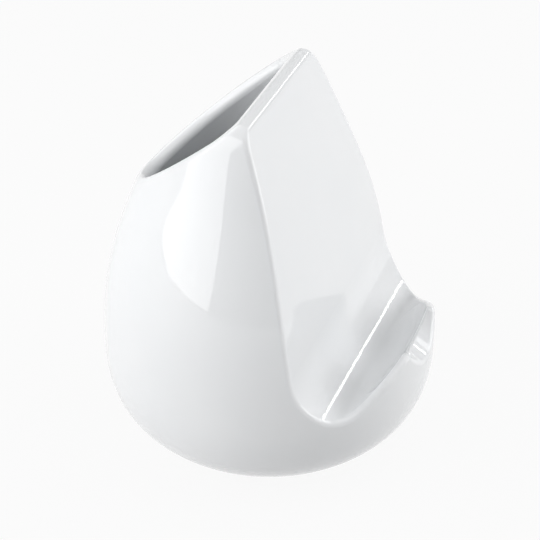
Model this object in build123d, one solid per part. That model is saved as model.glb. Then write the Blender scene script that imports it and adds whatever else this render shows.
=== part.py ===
from build123d import *
import math
import os

# Utensil holder with a leaning rest for a tablet or recipe book, in millimetres.
# The origin is under the middle of the round body, on the surface that the holder stands on.
# +Z is up, the rest and its trough face -Y, and the mouth for utensils slopes down to +Y.

# Widest radius of the round body and height of the ridge, which the other sizes follow
belly_radius = 75.0
ridge_height = 180.3

# Outline of the round body, a body of revolution about Z, from foot to crown: insets are measured
# inwards from the belly, drops are measured down from the ridge
foot_radius = 40.0
foot_top = 3.0
foot_flare = 60.0          # degrees that the wall leans outwards where it leaves the foot
flank_inset = 7.6
flank_height = 24.0
belly_height = 52.0
shoulder_inset = 5.3
shoulder_height = 98.0
neck_inset = 20.5
neck_drop = 40.3
crown_inset = 30.1
crown_drop = 11.8
crown_lean = 18.0          # degrees that the wall leans inwards at the crown
crown_round = 17.5         # rounds the two ends of the ridge

# Side outline of the rest, from the ridge down into the trough and up to the lip
ridge_front = 3.3          # distance in front of the axis
face_foot_inset = 41.6
face_foot_height = 77.0
face_bow = 3.2             # how far the face stands out from a straight line
trough_back_inset = 35.0
trough_back_height = 61.5
trough_inset = 23.3
trough_height = 53.2
lip_slope_inset = 12.2
lip_slope_height = 62.0
lip_overrun = 1.0          # how far outside the belly the line of the lip is drawn
lip_height = 79.6
lip_lean = 40.0            # degrees from upright at which the trough ends in the lip

# Scoop in the middle of the lip, for a charging cable: a round groove that runs down and outwards
scoop_inner_inset = 8.0
scoop_inner_height = 62.6
scoop_outer_height = 57.0  # at the belly's radius
scoop_radius = 25.0

# Hollow between trough and lip: an arc in plan, so that the middle of the lip keeps an even wall
hollow_arc = 150.0         # radius of the arc
hollow_inset = 8.0
hollow_height = 63.0
hollow_top_inset = 4.2
hollow_top_height = 75.0
hollow_lean = 12.0         # degrees from upright at which the hollow ends

# Side outline of the mouth, from the ridge to a point at the back
mouth_back_inset = 5.0
mouth_back_drop = 63.3
mouth_bow = 1.0            # how far the rim stands up from a straight line

# Walls
side_wall = 6.5
face_wall = 9.0
trough_wall = 6.0
floor_wall = 7.0

# Rounded edges of the cast and glazed body
ridge_round = 3.8
edge_round = 2.5           # rim, creases of the face, trough and lip
hollow_edge_round = 1.2    # where the hollow meets the scoop and the lip
mouth_edge_round = 3.1     # inner edge of the mouth
cavity_corner_round = 8.0  # between the cavity's side and the back of the face
cavity_floor_round = 8.0

# Foot ring and anti-slip pads
foot_ring_width = 6.0
foot_edge_round = 0.8
pad_thickness = 3.0
pad_stand_off = 1.0        # height at which the pads hold the foot ring
pad_radius = 5.0
pad_ring_gap = 1.5         # between a pad and the wall of the foot recess
pad_edge_round = 0.8
pad_places = {"rear_right": 45, "rear_left": 135, "front_left": 225, "front_right": 315}

reach = 2 * belly_radius   # takes every cutting block past the body
soft_angle = 12.0          # edges that turn by less than this, in degrees, are left alone


def heading(lean):
    """Upward direction that leans by an angle in degrees towards the axis."""
    return (-math.sin(math.radians(lean)), math.cos(math.radians(lean)))


def shifted(points, gap):
    """The points of an outline moved by gap to the left of the way that it runs."""
    moved = []
    for i, (across, height) in enumerate(points):
        before = points[max(i - 1, 0)]
        after = points[min(i + 1, len(points) - 1)]
        run = math.dist(before, after)
        moved.append((across - gap * (after[1] - before[1]) / run,
                      height + gap * (after[0] - before[0]) / run))
    return moved


def bowed_middle(start, end, bow):
    """Middle of an arc from start to end that bows by an amount to the left of its way."""
    return shifted([start, ((start[0] + end[0]) / 2, (start[1] + end[1]) / 2), end], bow)[1]


def body_points():
    """Radius and height of the points that the wall of the round body passes through."""
    return [
        (foot_radius, foot_top),
        (belly_radius - flank_inset, flank_height),
        (belly_radius, belly_height),
        (belly_radius - shoulder_inset, shoulder_height),
        (belly_radius - neck_inset, ridge_height - neck_drop),
        (belly_radius - crown_inset, ridge_height - crown_drop),
    ]


def wall_line(points):
    """The wall from foot to crown, upright at the belly."""
    Spline(*points[:3], tangents=[heading(-foot_flare), (0, 1)])
    Spline(*points[2:], tangents=[(0, 1), heading(crown_lean)])


def round_body():
    """The egg-shaped body on its foot, still solid and with its crown whole."""
    points = body_points()
    with BuildPart() as body:
        with BuildSketch(Plane.YZ):
            with BuildLine():
                wall_line(points)
                crown = JernArc(points[-1], heading(crown_lean), crown_round, 90 - crown_lean)
                top = crown @ 1
                Polyline((top.X, top.Y), (0, top.Y), (0, pad_stand_off),
                         (foot_radius, pad_stand_off), points[0])
            make_face()
        revolve(axis=Axis.Z)
    return body.part


def in_front(inset, height):
    """Point in the YZ plane, in front of the axis and an inset inside the belly."""
    return (inset - belly_radius, height)


def rest_points():
    """Points of the rest in the YZ plane, from the ridge down into the trough."""
    ridge = (-ridge_front, ridge_height)
    foot = in_front(face_foot_inset, face_foot_height)
    return [ridge, bowed_middle(ridge, foot, -face_bow), foot,
            in_front(trough_back_inset, trough_back_height), in_front(trough_inset, trough_height)]


def in_front_of_rest():
    """The space in front of the face, above the trough and behind the lip."""
    points = rest_points()
    lip = in_front(-lip_overrun, lip_height)
    lip_way = heading(lip_lean)
    with BuildPart() as block:
        with BuildSketch(Plane.YZ):
            with BuildLine():
                face = ThreePointArc(*points[:3])
                start = face % 0
                end = face % 1
                Spline(*points[2:], in_front(lip_slope_inset, lip_slope_height), lip,
                       tangents=[(end.X, end.Y), lip_way])
                above = (points[0][0] - reach * start.X, points[0][1] - reach * start.Y)
                outside = (lip[0] + reach * lip_way[0], lip[1] + reach * lip_way[1])
                Polyline(lip, outside, (outside[0], above[1]), above, points[0])
            make_face()
        extrude(amount=reach, both=True)
    return block.part


def in_front_of_cavity():
    """The space that the cavity stays out of: the rest, its walls and all of the lip."""
    points = shifted(rest_points(), face_wall)
    under_trough = in_front(trough_inset, trough_height - trough_wall)
    with BuildPart() as block:
        with BuildSketch(Plane.YZ):
            with BuildLine():
                face = ThreePointArc(*points[:3])
                start = face % 0
                end = face % 1
                Spline(points[2], points[3], under_trough, tangents=[(end.X, end.Y), (-1, 0)])
                above = (points[0][0] - reach * start.X, points[0][1] - reach * start.Y)
                Polyline(under_trough, (-reach, under_trough[1]), (-reach, above[1]), above, points[0])
            make_face()
        extrude(amount=reach, both=True)
    return block.part


def above_mouth():
    """The space above the slanted rim of the mouth."""
    ridge = (-ridge_front, ridge_height)
    back = (belly_radius - mouth_back_inset, ridge_height - mouth_back_drop)
    with BuildPart() as block:
        with BuildSketch(Plane.YZ):
            with BuildLine():
                rim = ThreePointArc(ridge, bowed_middle(ridge, back, mouth_bow), back)
                start = rim % 0
                front = (ridge[0] - crown_round * start.X, ridge[1] - crown_round * start.Y)
                high = ridge_height + reach
                Polyline(back, (reach, back[1]), (reach, high), (front[0], high), front, ridge)
            make_face()
        extrude(amount=reach, both=True)
    return block.part


def lip_scoop():
    """The round groove across the lip, as a cylinder that slopes down and outwards."""
    inner = Vector(0, *in_front(scoop_inner_inset, scoop_inner_height))
    outer = Vector(0, *in_front(0, scoop_outer_height))
    along = (outer - inner).normalized()
    upwards = Vector(0, along.Z, -along.Y)
    axis = Plane(origin=inner + upwards * scoop_radius, x_dir=(1, 0, 0), z_dir=along)
    return axis.location * Cylinder(scoop_radius, 2 * scoop_radius)


def behind_lip():
    """The hollow in front of the trough's lowest line, turned about an upright axis far behind it."""
    lowest = in_front(trough_inset, trough_height)
    middle = in_front(hollow_inset, hollow_height)
    top = in_front(hollow_top_inset, hollow_top_height)
    with BuildPart() as ring:
        with BuildSketch(Plane.YZ):
            with BuildLine():
                Spline(lowest, middle, top, tangents=[(-1, 0), heading(hollow_lean)])
                Polyline(top, (top[0], ridge_height), (lowest[0], ridge_height), lowest)
            make_face()
        revolve(axis=Axis((0, middle[0] + hollow_arc, 0), (0, 0, 1)))
    return ring.part & (Pos(0, lowest[0] - reach, 0) * Box(2 * reach, 2 * reach, 2 * reach))


def cavity():
    """The hollow for the utensils, from its floor up through the mouth and past it."""
    points = shifted(body_points(), side_wall)
    rise = heading(crown_lean)
    points.append((points[-1][0] + crown_round * rise[0], points[-1][1] + crown_round * rise[1]))
    with BuildPart() as hollow:
        with BuildSketch(Plane.YZ):
            with BuildLine():
                wall_line(points)
                Polyline(points[-1], (0, points[-1][1]), (0, points[0][1]), points[0])
            make_face()
        revolve(axis=Axis.Z)
    above_floor = Pos(0, 0, pad_thickness + floor_wall + reach) * Box(2 * reach, 2 * reach, 2 * reach)
    hollow = (hollow.part & above_floor) - in_front_of_cavity()
    hollow = fillet([edge for edge in sharp_edges(hollow) if is_side_corner(edge)], cavity_corner_round)
    floor_edge = [edge for edge in sharp_edges(hollow) if edge.center().Z < pad_thickness + 2 * floor_wall]
    return fillet(floor_edge, cavity_floor_round)


def sharp_edges(shape):
    """Edges where two faces meet at more than the soft angle."""
    found = []
    for edge in shape.edges():
        faces = [face for face in shape.faces() if any(edge.is_same(side) for side in face.edges())]
        if len(faces) == 2:
            middle = edge @ 0.5
            turn = faces[0].normal_at(middle).get_angle(faces[1].normal_at(middle))
            if turn > soft_angle:
                found.append(edge)
    return found


def is_side_corner(edge):
    """Whether an edge of the cavity runs up one side of the rest, between trough and crown."""
    middle = edge.center()
    beside = abs(middle.X) > foot_radius and middle.Y < 0
    return beside and trough_height - trough_wall < middle.Z < ridge_height - neck_drop + edge_round


def foot_recess():
    """The shallow recess inside the foot ring, open downwards."""
    recess = Cylinder(foot_radius - foot_ring_width, pad_thickness,
                      align=(Align.CENTER, Align.CENTER, Align.MIN))
    return fillet(recess.edges().group_by(Axis.Z)[-1], foot_edge_round)


def ceramic_body():
    """The whole holder but for its pads, one casting: round body, rest, trough, lip and cavity."""
    outside = round_body() - in_front_of_rest() - above_mouth() - lip_scoop()
    ridge = max(sharp_edges(outside), key=lambda edge: edge.center().Z)
    outside = fillet(ridge, ridge_round)
    glazed_edges = [edge for edge in sharp_edges(outside) if edge.center().Z > foot_top + edge_round]
    outside = fillet(glazed_edges, edge_round) - behind_lip()
    hollow_edges = [edge for edge in sharp_edges(outside) if edge.center().Z > foot_top + edge_round]
    outside = fillet(hollow_edges, hollow_edge_round)
    body = outside - cavity()
    mouth_edge = [edge for edge in sharp_edges(body) if edge.center().Z > shoulder_height]
    body = fillet(mouth_edge, mouth_edge_round)
    body = body - foot_recess()
    foot_edges = [edge for edge in sharp_edges(body) if edge.center().Z < foot_top / 2]
    return fillet(foot_edges, foot_edge_round).solid()


def foot_pad(angle):
    """A round anti-slip pad on the recess floor, standing below the foot ring."""
    ring_distance = foot_radius - foot_ring_width - pad_ring_gap - pad_radius
    pad = Cylinder(pad_radius, pad_thickness, align=(Align.CENTER, Align.CENTER, Align.MIN))
    pad = fillet(pad.edges().group_by(Axis.Z)[0], pad_edge_round)
    across = ring_distance * math.cos(math.radians(angle))
    along = ring_distance * math.sin(math.radians(angle))
    return (Pos(across, along, 0) * pad).solid()


os.makedirs("parts", exist_ok=True)
export_step(ceramic_body(), "parts/ceramic_body.step")
for place, angle in pad_places.items():
    export_step(foot_pad(angle), f"parts/foot_pad_{place}.step")
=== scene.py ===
import math

import bpy
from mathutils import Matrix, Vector

# A white glazed utensil holder with a leaning rest for a tablet, on a pale studio floor.
# Units are metres and the frame is the CAD's: +Z up, the rest and its ledge face -Y.

MM = 0.001
FOOT_RING_INSIDE = 33.2 * MM      # the bare foot ring lies outside this radius
FOOT_RING_TOP = 2.6 * MM          # and below this height
FLOOR_SIZE = 6.0
FLOOR_WHITE_SHARE = 0.92          # how much of the floor that the camera sees is plain white
WORLD_STRENGTH = 0.3

# Lamps: azimuth and elevation in degrees as seen from the aim, then distance, width and height in metres
# and power in watts
LAMP_AIM = (0, 0, 0.08)
LAMPS = {
    "left_softbox": (-135.5, 25, 1.2, 1.22, 1.12, 11.3),      # window-like reflection on the near side
    "right_strip": (57, 20.5, 1.2, 0.3, 0.07, 0.8),           # thin bright line along the trough
    "right_high_softbox": (60, 60, 1.3, 0.8, 0.8, 1.0),       # fill on the far side
    "top_softbox": (-10, 68, 1.3, 0.9, 0.9, 3.4),             # light down into the trough
    "face_softbox": (25, 17, 1.3, 0.9, 0.9, 7.5),             # even light on the leaning face
    "front_strip": (-8, 7, 1.3, 0.08, 0.3, 0.4),              # thin line along the near crease
    "back_softbox": (150, 35, 1.3, 0.8, 0.8, 3.0),            # light on the back and into the mouth
}

# Camera of the photograph: its place as seen from a point on the holder's axis, and how far its line of
# sight passes above and beside that point
CAMERA_POINT_HEIGHT = 75 * MM
CAMERA_AZIMUTH = -69.734          # degrees
CAMERA_ELEVATION = 33.888         # degrees
CAMERA_DISTANCE = 788.73 * MM
SIGHT_ABOVE = 8.82 * MM
SIGHT_BESIDE = 0.23 * MM
SENSOR_WIDTH = 36.0               # millimetres, as is the lens
CAMERA_LENS = 116.9


def linear(code):
    """Linear colour of an sRGB hex value."""
    parts = [int(code[i:i + 2], 16) / 255 for i in (0, 2, 4)]
    return [c / 12.92 if c <= 0.04045 else ((c + 0.055) / 1.055) ** 2.4 for c in parts] + [1.0]


def add(tree, kind, links=(), inputs=(), **settings):
    """A node with its settings, its input values and the links that feed it."""
    node = tree.nodes.new(kind)
    for name, value in settings.items():
        setattr(node, name, value)
    for name, value in dict(inputs).items():
        node.inputs[name].default_value = value
    for name, source in dict(links).items():
        tree.links.new(source, node.inputs[name])
    return node


def new_material(name):
    """An empty node material with its output node."""
    material = bpy.data.materials.new(name)
    material.use_nodes = True
    tree = material.node_tree
    tree.nodes.clear()
    return material, tree, tree.nodes.new("ShaderNodeOutputMaterial")


def glaze_material():
    """Clear gloss glaze over white earthenware, bare only on the foot ring."""
    material, tree, out = new_material("white_gloss_glaze_on_earthenware")
    place = add(tree, "ShaderNodeTexCoord").outputs["Object"]
    # Glaze that pooled a little thicker here and thinner there: the white drifts by a shade
    pooling = add(tree, "ShaderNodeTexNoise", {"Vector": place},
                  {"Scale": 28.0, "Detail": 2.0, "Roughness": 0.4})
    white = add(tree, "ShaderNodeMix", {"Factor": pooling.outputs["Fac"]}, data_type="RGBA")
    white.inputs["A"].default_value = linear("F0F1F2")
    white.inputs["B"].default_value = linear("EBEDEF")
    # Faint ripple that a poured glaze dries with, which softens long reflections
    ripple = add(tree, "ShaderNodeTexNoise", {"Vector": place},
                 {"Scale": 60.0, "Detail": 1.0, "Roughness": 0.3})
    surface = add(tree, "ShaderNodeBump", {"Height": ripple.outputs["Fac"]},
                  {"Strength": 0.25, "Distance": 0.04 * MM})
    glazed = add(tree, "ShaderNodeBsdfPrincipled",
                 {"Base Color": white.outputs["Result"], "Coat Normal": surface.outputs["Normal"]},
                 {"Roughness": 0.5, "Specular IOR Level": 0.3, "Coat Weight": 1.0,
                  "Coat Roughness": 0.035, "Coat IOR": 1.5})
    # Wiped foot ring: warm, matt and finely speckled clay
    speckle = add(tree, "ShaderNodeTexNoise", {"Vector": place},
                  {"Scale": 1400.0, "Detail": 3.0, "Roughness": 0.6})
    clay = add(tree, "ShaderNodeMix", {"Factor": speckle.outputs["Fac"]}, data_type="RGBA")
    clay.inputs["A"].default_value = linear("D9D0C0")
    clay.inputs["B"].default_value = linear("EFE8DC")
    grain = add(tree, "ShaderNodeBump", {"Height": speckle.outputs["Fac"]},
                {"Strength": 0.5, "Distance": 0.1 * MM})
    bare = add(tree, "ShaderNodeBsdfPrincipled",
               {"Base Color": clay.outputs["Result"], "Normal": grain.outputs["Normal"]},
               {"Roughness": 0.8})
    parts = add(tree, "ShaderNodeSeparateXYZ", {"Vector": place})
    level = add(tree, "ShaderNodeCombineXYZ", {"X": parts.outputs["X"], "Y": parts.outputs["Y"]})
    radius = add(tree, "ShaderNodeVectorMath", {0: level.outputs["Vector"]}, operation="LENGTH")
    outside = add(tree, "ShaderNodeMath", {0: radius.outputs["Value"]}, {1: FOOT_RING_INSIDE},
                  operation="GREATER_THAN")
    below = add(tree, "ShaderNodeMath", {0: parts.outputs["Z"]}, {1: FOOT_RING_TOP},
                operation="LESS_THAN")
    foot = add(tree, "ShaderNodeMath", {0: outside.outputs["Value"], 1: below.outputs["Value"]},
               operation="MULTIPLY")
    both = add(tree, "ShaderNodeMixShader", {0: foot.outputs["Value"], 1: glazed.outputs["BSDF"],
                                             2: bare.outputs["BSDF"]})
    tree.links.new(both.outputs["Shader"], out.inputs["Surface"])
    return material


def pad_material():
    """Matt grey rubber with a fine moulded grain."""
    material, tree, out = new_material("grey_anti_slip_rubber")
    place = add(tree, "ShaderNodeTexCoord").outputs["Object"]
    grain = add(tree, "ShaderNodeTexNoise", {"Vector": place},
                {"Scale": 2200.0, "Detail": 2.0, "Roughness": 0.5})
    grey = add(tree, "ShaderNodeMix", {"Factor": grain.outputs["Fac"]}, data_type="RGBA")
    grey.inputs["A"].default_value = linear("6F7173")
    grey.inputs["B"].default_value = linear("85878A")
    bumps = add(tree, "ShaderNodeBump", {"Height": grain.outputs["Fac"]},
                {"Strength": 0.6, "Distance": 0.05 * MM})
    rubber = add(tree, "ShaderNodeBsdfPrincipled",
                 {"Base Color": grey.outputs["Result"], "Normal": bumps.outputs["Normal"]},
                 {"Roughness": 0.75, "Specular IOR Level": 0.35})
    tree.links.new(rubber.outputs["BSDF"], out.inputs["Surface"])
    return material


def floor_material():
    """Pale studio floor that the camera sees as near white, with the holder's soft shadow."""
    material, tree, out = new_material("pale_studio_floor")
    matt = add(tree, "ShaderNodeBsdfDiffuse", inputs={"Color": linear("C8C8C8")})
    white = add(tree, "ShaderNodeEmission", inputs={"Strength": 1.0})
    path = add(tree, "ShaderNodeLightPath")
    seen = add(tree, "ShaderNodeMath", {0: path.outputs["Is Camera Ray"],
                                        1: path.outputs["Is Glossy Ray"]}, operation="MAXIMUM")
    seen = add(tree, "ShaderNodeMath", {0: seen.outputs["Value"],
                                        1: path.outputs["Is Transmission Ray"]}, operation="MAXIMUM")
    share = add(tree, "ShaderNodeMath", {0: seen.outputs["Value"]}, {1: FLOOR_WHITE_SHARE},
                operation="MULTIPLY")
    both = add(tree, "ShaderNodeMixShader", {0: share.outputs["Value"], 1: matt.outputs["BSDF"],
                                             2: white.outputs["Emission"]})
    tree.links.new(both.outputs["Shader"], out.inputs["Surface"])
    return material


def dress(node, material):
    """A CAD node gets a finished material in place of its plain one."""
    node.data.materials.clear()
    node.data.materials.append(material)


def studio_floor():
    """A wide floor under the holder."""
    bpy.ops.mesh.primitive_plane_add(size=FLOOR_SIZE, location=(0, 0, 0))
    floor = bpy.context.object
    floor.name = "studio_floor"
    floor.data.materials.append(floor_material())


def direction(azimuth, elevation):
    """Unit vector at angles in degrees: azimuth 0 is the holder's front and grows towards +X."""
    turn, rise = math.radians(azimuth), math.radians(elevation)
    return Vector((math.sin(turn) * math.cos(rise), -math.cos(turn) * math.cos(rise), math.sin(rise)))


def softbox(name, azimuth, elevation, distance, width, height, power):
    """A rectangular lamp that faces the aim."""
    away = direction(azimuth, elevation)
    data = bpy.data.lights.new(name, "AREA")
    data.shape = "RECTANGLE"
    data.size = width
    data.size_y = height
    data.energy = power
    lamp = bpy.data.objects.new(name, data)
    lamp.location = Vector(LAMP_AIM) + away * distance
    lamp.rotation_euler = away.to_track_quat("Z", "Y").to_euler()
    bpy.context.scene.collection.objects.link(lamp)


def studio_world():
    """Even pale light from all round."""
    world = bpy.data.worlds.new("pale_studio")
    bpy.context.scene.world = world
    world.use_nodes = True
    background = world.node_tree.nodes["Background"]
    background.inputs["Color"].default_value = linear("FFFFFF")
    background.inputs["Strength"].default_value = WORLD_STRENGTH


def photo_camera():
    """The camera at the photograph's angle: from the left, above, and a little in front."""
    away = direction(CAMERA_AZIMUTH, CAMERA_ELEVATION)
    right = Vector((math.cos(math.radians(CAMERA_AZIMUTH)), math.sin(math.radians(CAMERA_AZIMUTH)), 0))
    upward = away.cross(right)
    point = Vector((0, 0, CAMERA_POINT_HEIGHT))
    place = point + away * CAMERA_DISTANCE
    target = point + upward * SIGHT_ABOVE + right * SIGHT_BESIDE
    data = bpy.data.cameras.new("photo_camera")
    data.sensor_width = SENSOR_WIDTH
    data.lens = CAMERA_LENS
    camera = bpy.data.objects.new("photo_camera", data)
    camera.location = place
    camera.rotation_euler = (place - target).to_track_quat("Z", "Y").to_euler()
    bpy.context.scene.collection.objects.link(camera)
    bpy.context.scene.camera = camera


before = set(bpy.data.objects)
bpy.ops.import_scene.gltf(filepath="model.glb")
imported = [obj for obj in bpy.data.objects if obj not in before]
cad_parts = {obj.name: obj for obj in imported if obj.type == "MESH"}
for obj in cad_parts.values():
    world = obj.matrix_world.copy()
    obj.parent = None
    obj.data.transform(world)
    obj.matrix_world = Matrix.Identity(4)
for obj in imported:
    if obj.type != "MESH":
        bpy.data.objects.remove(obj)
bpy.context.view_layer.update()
bpy.context.scene.view_settings.view_transform = "Standard"

glaze = glaze_material()
rubber = pad_material()
for name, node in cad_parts.items():
    dress(node, glaze if name == "ceramic_body" else rubber)

studio_floor()
studio_world()
for name, setting in LAMPS.items():
    softbox(name, *setting)
photo_camera()
